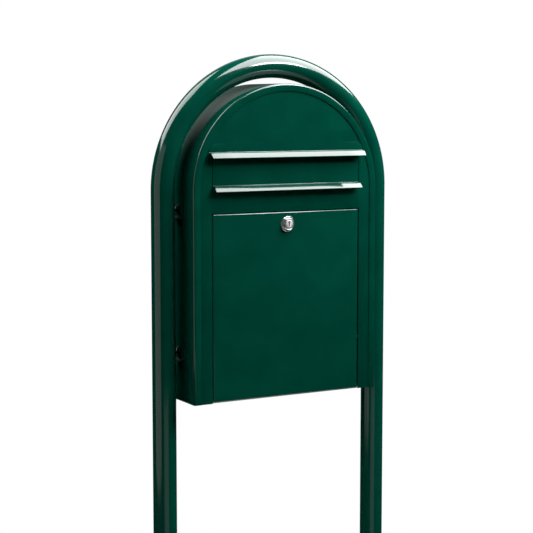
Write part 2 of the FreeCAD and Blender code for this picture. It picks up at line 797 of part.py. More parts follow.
def make_lock_housing():
    """Lock barrel: round head in front, threaded body through the door, bored for the plug."""
    body = new_body("lock_housing")
    bore = size("lock_plug_radius") + size("running_gap")
    stem = size("lock_body_radius")
    head = size("lock_head_radius")
    bevel = size("lock_head_bevel")
    face = PANEL_FRONT - size("lock_head_proud")
    seat = PANEL_FRONT - size("lock_ring_thickness")
    end = PANEL_FRONT + size("lock_body_depth")
    profile = new_sketch(body, "profile", "YZ_Plane")
    corners = [
        (face, LOCK_Z + bore),
        (face, LOCK_Z + head - bevel),
        (face + bevel, LOCK_Z + head),
        (seat, LOCK_Z + head),
        (seat, LOCK_Z + stem),
        (end, LOCK_Z + stem),
        (end, LOCK_Z + bore),
    ]
    draw_polygon(profile, corners)
    axis_front = FreeCAD.Vector(face.number, LOCK_Z.number, 0)
    axis_back = FreeCAD.Vector(end.number, LOCK_Z.number, 0)
    axis_line = profile.addGeometry(Part.LineSegment(axis_front, axis_back), True)
    tie_point(profile, axis_line, 1, (face, LOCK_Z))
    tie_point(profile, axis_line, 2, (end, LOCK_Z))
    turned = body.newObject("PartDesign::Revolution", "lock_housing_turned")
    turned.Profile = profile
    turned.ReferenceAxis = (profile, ["Axis0"])
    turned.Angle = 360.0
    DOC.recompute()
    return body


def make_lock_plug():
    """Turning core: keyway in its face and a square tail behind that drives the cam."""
    body = new_body("lock_plug")
    face = PANEL_FRONT - size("lock_plug_proud")
    end = PANEL_FRONT + size("lock_body_depth")
    core = new_sketch(body, "core", "XZ_Plane", -end)
    draw_circle(core, (0.0, LOCK_Z), size("lock_plug_radius"))
    add_pad(body, core, end - face)
    tail = new_sketch(body, "tail", "XZ_Plane", -end)
    tail_half = size("tail_side") / 2
    draw_rectangle(tail, -tail_half, tail_half, LOCK_Z - tail_half, LOCK_Z + tail_half)
    add_pad(body, tail, size("tail_length"), reverse=True)
    keyway = new_sketch(body, "keyway", "XZ_Plane", -face)
    slot_half = size("keyway_width") / 2
    slot_reach = size("keyway_length") / 2
    draw_rectangle(keyway, -slot_half, slot_half, LOCK_Z - slot_reach, LOCK_Z + slot_reach)
    add_pocket(body, keyway, size("keyway_depth"))
    return body


def make_lock_nut():
    """Hexagon nut that clamps the lock to the back of the door."""
    body = new_body("lock_nut")
    outline = new_sketch(body, "outline", "XZ_Plane", -PANEL_BACK)
    reach = size("lock_nut_reach")
    slant = reach * math.cos(math.pi / 3)
    rise = reach * math.sin(math.pi / 3)
    corners = [
        (reach, LOCK_Z),
        (slant, LOCK_Z + rise),
        (-slant, LOCK_Z + rise),
        (-reach, LOCK_Z),
        (-slant, LOCK_Z - rise),
        (slant, LOCK_Z - rise),
    ]
    draw_polygon(outline, corners)
    draw_circle(outline, (0.0, LOCK_Z), size("lock_body_radius"))
    add_pad(body, outline, size("lock_nut_thickness"), reverse=True)
    return body


def make_lock_cam():
    """Flat cam on the plug's tail: it lies level when open and stands up behind the strike when locked."""
    body = new_body("lock_cam")
    front = PANEL_FRONT + size("cam_front_depth")
    half = size("cam_width") / 2
    outline = new_sketch(body, "outline", "XZ_Plane", -front)
    draw_rectangle(outline, -size("cam_reach"), half, LOCK_Z - half, LOCK_Z + half)
    add_pad(body, outline, size("cam_thickness"), reverse=True)
    corners = edges_where(body.Shape, lambda box: box.YLength > 1 and box.XLength < 0.01)
    add_fillet(body, corners, size("cam_corner"))
    square = new_sketch(body, "square", "XZ_Plane", -front)
    tail_half = size("tail_side") / 2
    draw_rectangle(square, -tail_half, tail_half, LOCK_Z - tail_half, LOCK_Z + tail_half)
    add_pocket(body, square, size("cam_thickness") * 3, middle=True)
    return body


def make_cam_screw():
    """Pan-head screw that holds the cam on the tail."""
    radius = size("cam_screw_radius")
    head = lock_disc("cam_screw_head", radius, size("cam_screw_depth"), size("cam_screw_height"))
    head.Label = "cam_screw"
    return head


def build_all():
    """Every sub-part in assembly order."""
    nodes = [make_stand_tube()]
    nodes += [make_foot_plate(side) for side in SIDES]
    nodes.append(make_foot_welds())
    nodes += [make_bracket(name, sign, bolt_z) for name, sign, bolt_z in bolt_places()]
    nodes += [make_bracket_nuts(), make_box_screws(), make_box_washers()]
    nodes += [make_body_shell(), make_back_plate(), make_back_strip()]
    nodes += [make_bottom_plate(), make_front_panel()]
    nodes += [make_rain_hood(), make_strike_plate(), make_door_buffers()]
    door_tab = size("door_half") + size("hinge_tab_gap")
    flap_tab = size("flap_half") + size("hinge_tab_gap")
    door_rod = size("door_rod_radius")
    flap_rod = size("flap_rod_radius")
    door_pivot = (DOOR_PIVOT_Y, DOOR_PIVOT_Z)
    flap_pivot = (FLAP_PIVOT_Y, FLAP_PIVOT_Z)
    for side in SIDES:
        nodes.append(make_hinge_bracket("door_hinge_bracket", side, door_tab, door_rod, door_pivot, 1))
    for side in SIDES:
        nodes.append(make_hinge_bracket("flap_hinge_bracket", side, flap_tab, flap_rod, flap_pivot, -1))
    nodes.append(make_rod("door_hinge_rod", door_rod, door_tab, *door_pivot))
    nodes.append(make_rod("flap_hinge_rod", flap_rod, flap_tab, *flap_pivot))
    nodes += [make_letter_flap(), make_door()]
    nodes += [make_lock_ring(), make_lock_housing(), make_lock_nut()]
    nodes += [make_lock_plug(), make_lock_cam(), make_cam_screw()]
    return nodes


def check_document():
    """Stop if any object failed or any sub-part has no valid shape."""
    for item in DOC.Objects:
        if "Invalid" in item.State or "Error" in item.State:
            raise RuntimeError(f"{item.Name} failed: {item.State}")


def export_all(nodes):
    """Check every node's shape and write it as a STEP file named after the node."""
    os.makedirs("parts", exist_ok=True)
    for node in nodes:
        shape = node.Shape
        if shape.isNull() or not shape.isValid() or not shape.Solids:
            raise RuntimeError(f"{node.Label} has no valid solid")
        shape.exportStep(f"parts/{node.Label}.step")
        print(f"{node.Label}: {len(shape.Solids)} solid(s), {shape.Volume:.0f} mm3")


NODES = build_all()
DOC.recompute()
check_document()
export_all(NODES)
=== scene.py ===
import json
import math

import bmesh
import bpy
import numpy as np
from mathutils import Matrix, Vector


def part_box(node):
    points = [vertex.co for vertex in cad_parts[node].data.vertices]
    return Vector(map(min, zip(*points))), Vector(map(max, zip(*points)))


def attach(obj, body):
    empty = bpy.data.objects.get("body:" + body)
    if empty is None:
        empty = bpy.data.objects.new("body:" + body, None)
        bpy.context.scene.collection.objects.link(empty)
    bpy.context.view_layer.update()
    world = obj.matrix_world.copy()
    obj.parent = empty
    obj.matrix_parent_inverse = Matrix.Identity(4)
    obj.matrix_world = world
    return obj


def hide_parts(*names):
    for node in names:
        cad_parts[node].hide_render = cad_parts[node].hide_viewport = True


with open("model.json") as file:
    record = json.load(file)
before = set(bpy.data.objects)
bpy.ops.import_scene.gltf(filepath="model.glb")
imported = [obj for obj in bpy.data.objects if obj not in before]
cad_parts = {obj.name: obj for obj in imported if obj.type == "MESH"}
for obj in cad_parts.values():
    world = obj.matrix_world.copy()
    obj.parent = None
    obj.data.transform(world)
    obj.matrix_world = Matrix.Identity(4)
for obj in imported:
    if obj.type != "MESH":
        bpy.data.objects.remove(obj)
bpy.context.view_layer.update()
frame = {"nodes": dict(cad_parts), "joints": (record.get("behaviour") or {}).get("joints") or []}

# --------------------------------------------------------------------------------------------------
# Stand tube. One length of round steel tube, bent to a half circle over the box, with two long straight
# legs. It is powder-coated as one piece, so the coat is unbroken over the bend and evenly glossy.

HALF_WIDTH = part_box("body_shell")[1].x
ARCH_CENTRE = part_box("body_shell")[1].z - HALF_WIDTH
TUBE_LOW, TUBE_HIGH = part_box("stand_tube")
TUBE_RADIUS = TUBE_HIGH.y
TUBE_OFFSET = TUBE_HIGH.x - TUBE_RADIUS
TUBE_WALL = 0.002
SAME_POINT = 1e-6
NOISE_BAND = (0.3, 0.7)
PEEL_MILLIMETRES = 3.0
PEEL_HEIGHT = 0.0003
PEEL_STRENGTH = 0.06


def linear(hex_colour):
    """An sRGB hex colour as linear RGBA."""
    channels = np.array([int(hex_colour[i:i + 2], 16) for i in (1, 3, 5)]) / 255
    flat = np.where(channels <= 0.04045, channels / 12.92, ((channels + 0.055) / 1.055) ** 2.4)
    return (*[float(channel) for channel in flat], 1.0)


def grey(value):
    """A grey RGBA of that linear value."""
    return (value, value, value, 1.0)


def add_node(tree, kind, inputs=None, **settings):
    """Add a shader node, set its properties and fill or link its inputs."""
    node = tree.nodes.new(kind)
    for name, value in settings.items():
        setattr(node, name, value)
    for name, value in (inputs or {}).items():
        if isinstance(value, bpy.types.NodeSocket):
            tree.links.new(value, node.inputs[name])
        else:
            node.inputs[name].default_value = value
    return node


def new_material(name):
    """An empty node material with its output and a Principled shader linked to it."""
    material = bpy.data.materials.new(name)
    material.use_nodes = True
    tree = material.node_tree
    tree.nodes.clear()
    shader = add_node(tree, "ShaderNodeBsdfPrincipled")
    add_node(tree, "ShaderNodeOutputMaterial", {"Surface": shader.outputs["BSDF"]})
    return material, tree, shader


def noise(tree, millimetres, detail):
    """Noise in object space with features of that size."""
    place = add_node(tree, "ShaderNodeTexCoord")
    inputs = {"Vector": place.outputs["Object"], "Scale": 1000 / millimetres, "Detail": detail}
    return add_node(tree, "ShaderNodeTexNoise", inputs).outputs["Fac"]


def noise_between(tree, millimetres, low, high, detail=2.0):
    """Noise with features of that size, as a colour ramp from low to high."""
    ramp = add_node(tree, "ShaderNodeValToRGB", {"Fac": noise(tree, millimetres, detail)})
    for element, position, colour in zip(ramp.color_ramp.elements, NOISE_BAND, (low, high)):
        element.position = position
        element.color = colour
    return ramp.outputs["Color"]


def gloss_powder_coat():
    """Polyester powder, sprayed and baked on steel: deep moss green, high gloss, a faint orange peel about
    3 mm across, and a gloss that varies slightly from place to place."""
    material, tree, shader = new_material("gloss powder coat, moss green")
    colour = noise_between(tree, millimetres=40.0, low=linear("#003126"), high=linear("#01362A"))
    gloss = noise_between(tree, millimetres=25.0, low=grey(0.09), high=grey(0.13))
    peel = noise(tree, PEEL_MILLIMETRES, detail=1.0)
    inputs = {"Height": peel, "Strength": PEEL_STRENGTH, "Distance": PEEL_HEIGHT}
    bump = add_node(tree, "ShaderNodeBump", inputs)
    tree.links.new(colour, shader.inputs["Base Color"])
    tree.links.new(gloss, shader.inputs["Roughness"])
    tree.links.new(bump.outputs["Normal"], shader.inputs["Normal"])
    shader.inputs["IOR"].default_value = 1.5
    return material


POWDER_COAT = gloss_powder_coat()


def grid_quads(points, closed_rows=False, closed_columns=False):
    """Quads of a grid of points numbered row by row; a closed direction joins its last line to its first."""
    rows, columns = points.shape[:2]
    row = np.arange(rows if closed_rows else rows - 1)
    column = np.arange(columns if closed_columns else columns - 1)
    row, column = np.meshgrid(row, column, indexing="ij")
    next_row = (row + 1) % rows
    next_column = (column + 1) % columns
    corners = [row * columns + column, next_row * columns + column]
    corners += [next_row * columns + next_column, row * columns + next_column]
    return np.stack(corners, -1).reshape(-1, 4)


def close_seams(mesh):
    """Merge points that lie on each other, drop what is left with no face, and turn every face outwards."""
    work = bmesh.new()
    work.from_mesh(mesh)
    bmesh.ops.remove_doubles(work, verts=work.verts, dist=SAME_POINT)
    bmesh.ops.dissolve_degenerate(work, edges=work.edges, dist=SAME_POINT / 10)
    bmesh.ops.delete(work, geom=[edge for edge in work.edges if not edge.link_faces], context="EDGES")
    bmesh.ops.delete(work, geom=[point for point in work.verts if not point.link_faces], context="VERTS")
    bmesh.ops.recalc_face_normals(work, faces=work.faces)
    work.to_mesh(mesh)
    work.free()


def mesh_object(name, points, faces):
    """A mesh object at the origin from an array of points and an array of faces."""
    mesh = bpy.data.meshes.new(name)
    mesh.from_pydata(points.reshape(-1, 3).tolist(), [], faces.tolist())
    close_seams(mesh)
    piece = bpy.data.objects.new(name, mesh)
    bpy.context.scene.collection.objects.link(piece)
    return piece


def fit_piece(piece, material, body, slot, *nodes, crease=35.0):
    """Shade a finished piece, give it its material, and put it in place of its CAD nodes."""
    piece.data.materials.clear()
    piece.data.materials.append(material)
    piece.data.shade_smooth()
    piece.data.set_sharp_from_angle(angle=math.radians(crease))
    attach(piece, body)
    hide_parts(*nodes)


def full_turn(steps):
    """Even angles round a circle, whose last step leads back to the first."""
    return np.linspace(0.0, 2 * math.pi, steps, endpoint=False)


def along_arch(reach, depth, low, leg_rows, arch_rows):
    """A profile of reach and depth carried up from low, over the half circle and down again. A point is its
    row's place on the middle line plus the outward direction times its reach, at its depth; the outward
    direction (cos t, sin t) turns from left to right over the half circle."""
    turn = np.linspace(math.pi, 0.0, arch_rows)
    rise = np.linspace(low, ARCH_CENTRE, leg_rows, endpoint=False)
    outward_x = np.concatenate([-np.ones(leg_rows), np.cos(turn), np.ones(leg_rows)])[:, None]
    outward_z = np.concatenate([np.zeros(leg_rows), np.sin(turn), np.zeros(leg_rows)])[:, None]
    middle_z = np.concatenate([rise, np.full(arch_rows, ARCH_CENTRE), rise[::-1]])[:, None]
    x = outward_x * reach
    return np.stack([x, np.broadcast_to(depth, x.shape), middle_z + outward_z * reach], -1)


def make_stand_tube():
    """A ring of reach offset + r cos a and depth r sin a is carried along the arch. The outer skin and the
    inner one are joined at the two cut ends."""
    around = full_turn(96)
    skins = []
    for radius in (TUBE_RADIUS, TUBE_RADIUS - TUBE_WALL):
        reach = TUBE_OFFSET + radius * np.cos(around)
        depth = radius * np.sin(around)
        skins.append(along_arch(reach, depth, TUBE_LOW.z, leg_rows=12, arch_rows=121))
    points = np.concatenate([skins[0], skins[1][::-1]])
    faces = grid_quads(points, closed_rows=True, closed_columns=True)
    fit_piece(mesh_object("tube", points, faces), POWDER_COAT, "root", "stand_green", "stand_tube")


make_stand_tube()

# --------------------------------------------------------------------------------------------------
# Foot plates and their welds. Square steel plates, 5 mm thick, drilled for ground anchors, with a fillet
# weld all round the leg; the coat goes over both, so the weld's ripples show only as soft waves.

PLATE_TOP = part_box("foot_plate_left")[1].z
WELD_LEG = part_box("foot_welds")[1].z - PLATE_TOP
WELD_RIPPLES = 38
RIPPLE_SWELL = 0.07
RIPPLE_BOW = 1.4
BEAD_BULGE = 0.5
BEAD_OVERLAP = 0.0002
FOOT_CORNER = 0.008
FOOT_EDGE = 0.0008
ANCHOR_OFFSET = 0.045
ANCHOR_RADIUS = 0.0055
SHEET_EDGE = 0.0003
SHARP_ANGLE = 40.0


def apply_modifiers(piece):
    """Bake a piece's modifiers into its mesh."""
    graph = bpy.context.evaluated_depsgraph_get()
    finished = bpy.data.meshes.new_from_object(piece.evaluated_get(graph))
    piece.modifiers.clear()
    piece.data = finished


def round_corners(piece, edge):
    """Round every edge sharper than SHARP_ANGLE to a width of edge, and bake the result."""
    bevel = piece.modifiers.new("rounded edges", "BEVEL")
    bevel.width = edge
    bevel.segments = 2
    bevel.limit_method = "ANGLE"
    bevel.angle_limit = math.radians(SHARP_ANGLE)
    apply_modifiers(piece)


def face_values(mesh, name, width):
    """One named value of every face of a mesh, as the rows of an array."""
    values = np.empty(len(mesh.polygons) * width, np.float32)
    mesh.polygons.foreach_get(name, values)
    return values.reshape(-1, width)


def sheet_metal(name, points, faces, inside, thickness, edge=SHEET_EDGE):
    """Give a surface its thickness on the side of the point inside, and round its cut edges."""
    piece = mesh_object(name, points, faces)
    mesh = piece.data
    outwards = face_values(mesh, "center", 3) - np.asarray(inside)
    if np.sum(face_values(mesh, "normal", 3) * face_values(mesh, "area", 1) * outwards) < 0:
        mesh.flip_normals()
    wall = piece.modifiers.new("sheet", "SOLIDIFY")
    wall.thickness = thickness
    wall.offset = -1.0
    wall.use_even_offset = True
    round_corners(piece, edge)
    return piece


def joined(parts):
    """Several (points, faces) parts as one."""
    points = []
    faces = []
    start = 0
    for part_points, part_faces in parts:
        flat = part_points.reshape(-1, 3)
        points.append(flat)
        faces.append(part_faces + start)
        start += len(flat)
    return np.concatenate(points), np.concatenate(faces)


def weld_bead(centre_x):
    """A bead round one leg: across it the radius and height lie between a chamfer's and a quarter round's,
    and along it the size swells and shrinks once per ripple, each ripple bowed like a crescent."""
    around = full_turn(480)[None, :]
    turn = np.linspace(0.0, math.pi / 2, 9)[:, None]
    share = turn / (math.pi / 2)
    wave = np.sin(WELD_RIPPLES * around + RIPPLE_BOW * np.sin(turn * 2))
    ripple = 1 + RIPPLE_SWELL * wave * np.sin(turn * 2)
    out = (1 - share) * (1 - BEAD_BULGE) + np.cos(turn) * BEAD_BULGE
    up = share * (1 - BEAD_BULGE) + np.sin(turn) * BEAD_BULGE
    reach = TUBE_RADIUS + WELD_LEG * out * ripple
    height = PLATE_TOP + WELD_LEG * up * ripple
    reach = np.concatenate([reach, np.full_like(around, TUBE_RADIUS - BEAD_OVERLAP)])
    height = np.concatenate([height, np.full_like(around, PLATE_TOP)])
    points = np.stack([centre_x + reach * np.cos(around), reach * np.sin(around), height], -1)
    return points, grid_quads(points, closed_rows=True, closed_columns=True)


def make_foot_plate(node):
    """Four quarters, each a ring of quads between a drilled hole and the quarter's own outline, which is a
    square round the quarter's middle, r = half / max(|cos a|, |sin a|), with the outer corner cut back to a
    quarter circle. Mirrored quarters meet along the plate's middle lines."""
    low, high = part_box(node)
    quarter = (high.x - low.x) / 4
    around = full_turn(96)
    ring = np.stack([np.cos(around), np.sin(around)], -1)
    hole = ANCHOR_OFFSET + ANCHOR_RADIUS * ring
    rim = quarter + quarter * ring / np.abs(ring).max(axis=1, keepdims=True)
    corner = 2 * quarter - FOOT_CORNER
    past = np.maximum(rim - corner, 0.0)
    distance = np.maximum(np.linalg.norm(past, axis=1, keepdims=True), SAME_POINT)
    in_corner = (past > 0).all(axis=1, keepdims=True)
    rim = np.where(in_corner, corner + past * FOOT_CORNER / distance, rim)
    share = np.linspace(0.0, 1.0, 3)[:, None, None]
    flat = hole * (1 - share) + rim * share
    height = np.full(flat.shape[:2], high.z)
    centre_x = (low.x + high.x) / 2
    quarters = []
    for sign_x in (-1, 1):
        for sign_y in (-1, 1):
            points = np.stack([centre_x + sign_x * flat[..., 0], sign_y * flat[..., 1], height], -1)
            faces = grid_quads(points, closed_columns=True)
            quarters.append((points, faces if sign_x == sign_y else faces[:, ::-1]))
    inside = (centre_x, 0.0, low.z)
    piece = sheet_metal(f"{node}_cut", *joined(quarters), inside, high.z - low.z, FOOT_EDGE)
    fit_piece(piece, POWDER_COAT, "root", "stand_green", node)


for side in ("left", "right"):
    make_foot_plate(f"foot_plate_{side}")
beads = mesh_object("weld_beads", *joined([weld_bead(-TUBE_OFFSET), weld_bead(TUBE_OFFSET)]))
fit_piece(beads, POWDER_COAT, "root", "stand_green", "foot_welds", crease=60.0)

# --------------------------------------------------------------------------------------------------
# Brackets. Four bent steel straps, welded to the tube and coated with it, that hold the box by its side
# walls. A round weld nut on each takes a screw from inside the box, with a flat washer under its head.

NUT_LOW, NUT_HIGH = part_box("bracket_nuts")
SHANK_REACH = -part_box("box_screws")[0].x
WASHER_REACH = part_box("box_washers")[1].x
SHEET = 0.0012
FLAT_ANGLE = 0.5
STRAP_EDGE = 0.0005
BOLT_RADIUS = 0.003
BOLT_END = 0.0005
NUT_RADIUS = 0.005
NUT_LENGTH = 0.004
NUT_CHAMFER = 0.0006
HEAD_RADIUS = 0.0055
HEAD_LENGTH = 0.0035
HEAD_ROUNDING = 0.0015
THREAD_LENGTH = 0.006
THREAD_PITCH = 0.001
THREAD_DEPTH = 0.0004
WASHER_RADIUS = 0.006
WASHER_EDGE = 0.0002
WASHER_PLAY = 0.0002


def zinc_plate():
    """Bright zinc plating on steel: grey metal with a slightly blue cast, satin, with faint blotches from the
    plating bath and fine marks from handling."""
    material, tree, shader = new_material("bright zinc plate on steel")
    colour = noise_between(tree, millimetres=6.0, low=linear("#B9BDC0"), high=linear("#CDD0D1"), detail=4.0)
    gloss = noise_between(tree, millimetres=3.0, low=grey(0.24), high=grey(0.38), detail=4.0)
    tree.links.new(colour, shader.inputs["Base Color"])
    tree.links.new(gloss, shader.inputs["Roughness"])
    shader.inputs["Metallic"].default_value = 1.0
    return material


ZINC = zinc_plate()


def softened_copy(node, edge):
    """A copy of a CAD node with its triangles joined into flat faces and its corners rounded."""
    mesh = frame["nodes"][node].data.copy()
    piece = bpy.data.objects.new(f"{node}_finished", mesh)
    bpy.context.scene.collection.objects.link(piece)
    work = bmesh.new()
    work.from_mesh(mesh)
    bmesh.ops.remove_doubles(work, verts=work.verts, dist=SAME_POINT)
    flat = math.radians(FLAT_ANGLE)
    bmesh.ops.dissolve_limit(work, angle_limit=flat, verts=work.verts, edges=work.edges)
    work.to_mesh(mesh)
    work.free()
    round_corners(piece, edge)
    return piece


def turned(radius, along, centre, axis, columns=48):
    """A closed profile turned about an axis: centre + axis * along + radius * (cos a, sin a) across it."""
    radius = np.asarray(radius, float)[:, None, None]
    along = np.asarray(along, float)[:, None, None]
    axis = np.asarray(axis, float)
    across = np.array([0.0, 0.0, 1.0])
    around = full_turn(columns)[None, :, None]
    spoke = np.cos(around) * across + np.sin(around) * np.cross(axis, across)
    points = np.asarray(centre) + axis * along + radius * spoke
    return points, grid_quads(points, closed_rows=True, closed_columns=True)


def ring_profile(bore, outer, length, chamfer):
    """Radius and distance along the axis of a ring whose two outer rims are chamfered."""
    radius = [bore, outer - chamfer, outer, outer, outer - chamfer, bore]
    return radius, [0, 0, chamfer, length - chamfer, length, length]


def thread_profile(radius, start, end):
    """Radius and distance of turned grooves: the full radius and the groove's in turn, half a pitch apart."""
    along = np.arange(start, end, THREAD_PITCH / 2)
    on_ridge = np.arange(len(along)) % 2 == 0
    return np.where(on_ridge, radius, radius - THREAD_DEPTH), along


def bolt_places():
    """Side sign and height of the four bracket screws."""
    for height in (NUT_LOW.z + NUT_RADIUS, NUT_HIGH.z - NUT_RADIUS):
        for sign in (-1, 1):
            yield sign, height


def weld_nut(sign, height):
    """Round nut with chamfered rims, from the bracket's leaf towards the tube."""
    start = sign * (NUT_HIGH.x - NUT_LENGTH)
    profile = ring_profile(BOLT_RADIUS, NUT_RADIUS, NUT_LENGTH, NUT_CHAMFER)
    return turned(*profile, (start, 0, height), (sign, 0, 0))


def pan_screw(sign, height):
    """Flat head whose rim is a quarter round, radius r - e + e sin t at depth e - e cos t, and a shank whose
    end carries turned thread grooves. A ring on the head's flat keeps its shading even."""
    inner = WASHER_REACH - SHEET - HEAD_LENGTH
    length = SHANK_REACH - inner
    turn = np.linspace(0.0, math.pi / 2, 10)
    rim_radius = HEAD_RADIUS - HEAD_ROUNDING + HEAD_ROUNDING * np.sin(turn)
    rim_along = HEAD_ROUNDING - HEAD_ROUNDING * np.cos(turn)
    thread_radius, thread_along = thread_profile(BOLT_RADIUS, length - THREAD_LENGTH, length - BOLT_END)
    head = [[0.0, HEAD_ROUNDING], rim_radius, [HEAD_RADIUS, BOLT_RADIUS]]
    radius = np.concatenate([*head, thread_radius, [BOLT_RADIUS - BOLT_END, 0.0]])
    head = [[0.0, 0.0], rim_along, [HEAD_LENGTH, HEAD_LENGTH]]
    along = np.concatenate([*head, thread_along, [length, length]])
    return turned(radius, along, (sign * inner, 0, height), (sign, 0, 0), columns=32)


def flat_washer(sign, height):
    """Thin ring with broken edges, between the box wall and the screw's head."""
    profile = ring_profile(BOLT_RADIUS + WASHER_PLAY, WASHER_RADIUS, SHEET, WASHER_EDGE)
    return turned(*profile, (sign * (WASHER_REACH - SHEET), 0, height), (sign, 0, 0))


for level in ("upper", "lower"):
    for side in ("left", "right"):
        strap = softened_copy(f"bracket_{level}_{side}", STRAP_EDGE)
        fit_piece(strap, POWDER_COAT, "root", "stand_green", f"bracket_{level}_{side}")
nuts = mesh_object("weld_nuts", *joined([weld_nut(*place) for place in bolt_places()]))
fit_piece(nuts, POWDER_COAT, "root", "stand_green", "bracket_nuts")
screws = mesh_object("wall_screws", *joined([pan_screw(*place) for place in bolt_places()]))
fit_piece(screws, ZINC, "root", "zinc", "box_screws")
washers = mesh_object("wall_washers", *joined([flat_washer(*place) for place in bolt_places()]))
fit_piece(washers, ZINC, "root", "zinc", "box_washers")

# --------------------------------------------------------------------------------------------------
# Body shell. One strip of 1.2 mm steel wrapped over the arch, its front edge turned in over a 3 mm roll to
# make the narrow rim round the face. Spot-welded to the pans behind and below, and coated after assembly.

SHELL_LOW, SHELL_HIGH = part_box("body_shell")
FRONT = SHELL_LOW.y
BACK = SHELL_HIGH.y
BASE = SHELL_LOW.z
RIM_WIDTH = 0.0113
ROLL_RADIUS = 0.003


def rounded_path(corners, radii, steps=9):
    """A path through 2D corners, each replaced by an arc of its radius that is tangent to both its sides."""
    corners = np.asarray(corners, float)
    pieces = [corners[:1]]
    for before, corner, after, radius in zip(corners, corners[1:], corners[2:], radii):
        back = (before - corner) / np.linalg.norm(before - corner)
        ahead = (after - corner) / np.linalg.norm(after - corner)
        half_angle = math.acos(float(np.clip(back @ ahead, -1, 1))) / 2
        bisector = (back + ahead) / np.linalg.norm(back + ahead)
        centre = corner + bisector * radius / math.sin(half_angle)
        start = corner + back * radius / math.tan(half_angle) - centre
        end = corner + ahead * radius / math.tan(half_angle) - centre
        sweep = math.pi - 2 * half_angle
        share = np.linspace(0, 1, steps)[:, None]
        arc = start * np.sin((1 - share) * sweep) + end * np.sin(share * sweep)
        pieces.append(centre + arc / math.sin(sweep))
    pieces.append(corners[-1:])
    return np.concatenate(pieces)


def make_body_shell():
    """A profile of rim, roll and wall, in reach and depth, is carried along the arch."""
    corners = [(HALF_WIDTH - RIM_WIDTH, FRONT), (HALF_WIDTH, FRONT), (HALF_WIDTH, BACK)]
    profile = rounded_path(corners, [ROLL_RADIUS], steps=13)
    points = along_arch(profile[:, 0], profile[:, 1], BASE, leg_rows=3, arch_rows=181)
    inside = (0.0, BACK, (BASE + ARCH_CENTRE) / 2)
    piece = sheet_metal("shell", points, grid_quads(points), inside, SHEET)
    fit_piece(piece, POWDER_COAT, "root", "box_green", "body_shell")


make_body_shell()

# --------------------------------------------------------------------------------------------------
# Back plate, edge strip, bottom plate and front face. Flat pieces cut from the same sheet; the strip joins
# shell and back plate from inside, and the face has a slot for letters and an opening for the door.

PANEL_LOW, PANEL_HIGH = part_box("front_panel")
FLAP_LOW, FLAP_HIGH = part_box("letter_flap")
DOOR_LOW, DOOR_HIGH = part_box("door")
OPENING_GAP = 0.001
LIP_FALL = 0.0076
LIP_CLEARANCE = 0.0008
HEM_CLEARANCE = 0.0006
FACE_COLUMN = 0.06
FACE_EDGE = 0.0005
LEAST_ROW_STEP = 0.00001


def coat_node(node, material):
    """Give a CAD node that stays in view its real finish."""
    slots = frame["nodes"][node].data.materials
    slots.clear()
    slots.append(material)


def make_front_panel():
    """Rows at chosen heights, columns at chosen places across. Every column is held inside the arch's half
    width, w = sqrt(r^2 - (z - centre)^2), so the columns close up into the outline and meet at the crown.
    The quads inside the door's opening and the slot are left out."""
    radius = PANEL_HIGH.x
    door_half = DOOR_HIGH.x + OPENING_GAP
    door_top = DOOR_HIGH.z + OPENING_GAP
    slot_half = FLAP_HIGH.x + OPENING_GAP
    slot_low = FLAP_LOW.z + LIP_FALL - LIP_CLEARANCE
    slot_high = FLAP_HIGH.z + HEM_CLEARANCE
    rise = ARCH_CENTRE + radius * np.sin(np.linspace(0.0, math.pi / 2, 91))
    rows = np.unique(np.concatenate([[PANEL_LOW.z, door_top, slot_low, slot_high], rise]))
    rows = rows[np.concatenate([[True], np.diff(rows) > LEAST_ROW_STEP])]
    right = np.array([FACE_COLUMN, slot_half, door_half, radius])
    columns = np.concatenate([-right[::-1], [0.0], right])
    width = np.sqrt(np.maximum(radius**2 - np.maximum(rows - ARCH_CENTRE, 0.0) ** 2, 0.0))
    x = np.clip(columns[None, :], -width[:, None], width[:, None])
    z = np.broadcast_to(rows[:, None], x.shape)
    points = np.stack([x, np.full_like(x, PANEL_LOW.y), z], -1)
    faces = grid_quads(points)
    middle = points.reshape(-1, 3)[faces].mean(axis=1)
    across = np.abs(middle[:, 0])
    height = middle[:, 2]
    in_door = (across < door_half) & (height < door_top)
    in_slot = (across < slot_half) & (height > slot_low) & (height < slot_high)
    faces = faces[~(in_door | in_slot)]
    piece = sheet_metal("face", points, faces, (0.0, BACK, BASE), SHEET, FACE_EDGE)
    fit_piece(piece, POWDER_COAT, "root", "box_green", "front_panel")


make_front_panel()
for node in ("back_plate", "back_strip", "bottom_plate"):
    coat_node(node, POWDER_COAT)

# --------------------------------------------------------------------------------------------------
# Rain hood. A narrow plate with rounded upper corners, spot-welded to the face above the slot. Its lower
# edge is folded out into a short shelf that rolls over, so rain drips clear and the roll catches the light.

HOOD_LOW, HOOD_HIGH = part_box("rain_hood")
HOOD_CORNER = 0.0115
LIP_REACH = 0.0125
LIP_THICKNESS = 0.0014
LIP_INSET = 0.0016
LIP_SHELF = 0.006
FOLD_RADIUS = 0.0006
SHELF_RADIUS = 0.001
SHELF_TILT = 8.0
ROLL_FIRST_TILT = 43.0


